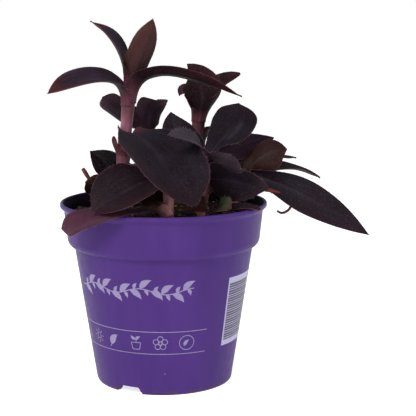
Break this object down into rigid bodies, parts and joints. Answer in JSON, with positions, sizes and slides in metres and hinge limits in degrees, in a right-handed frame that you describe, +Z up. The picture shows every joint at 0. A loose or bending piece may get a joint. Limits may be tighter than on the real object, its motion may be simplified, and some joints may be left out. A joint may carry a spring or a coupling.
{
  "type": "potted purple heart plant",
  "caption": "Trailing purple foliage plant with long pointed leaves on fleshy pink stems, growing in a round tapered purple plastic nursery pot with a rim band.",
  "frame": {"origin": "centre of the pot's flat base pad, on the surface that the pot stands on", "axes": "+Z up along the pot's axis, +X to the viewer's right and -Y towards the viewer in the picture"},
  "size_m": [0.1834, 0.1356, 0.2099],
  "materials": {
    "pot": "smooth moulded purple plastic with a satin gloss",
    "soil": "dark loose potting soil with small pale grit",
    "plant": "soft satin leaf, dark grey purple above, brown purple below, with pink stems"
  },
  "bodies": {
    "root": {"pot": "pot", "soil": "soil", "tall_shoot": "plant", "front_shoot": "plant", "back_shoot": "plant", "right_shoot": "plant", "inner_shoot": "plant", "outer_shoot": "plant", "low_shoot": "plant", "rear_shoot": "plant"}
  },
  "joints": []
}
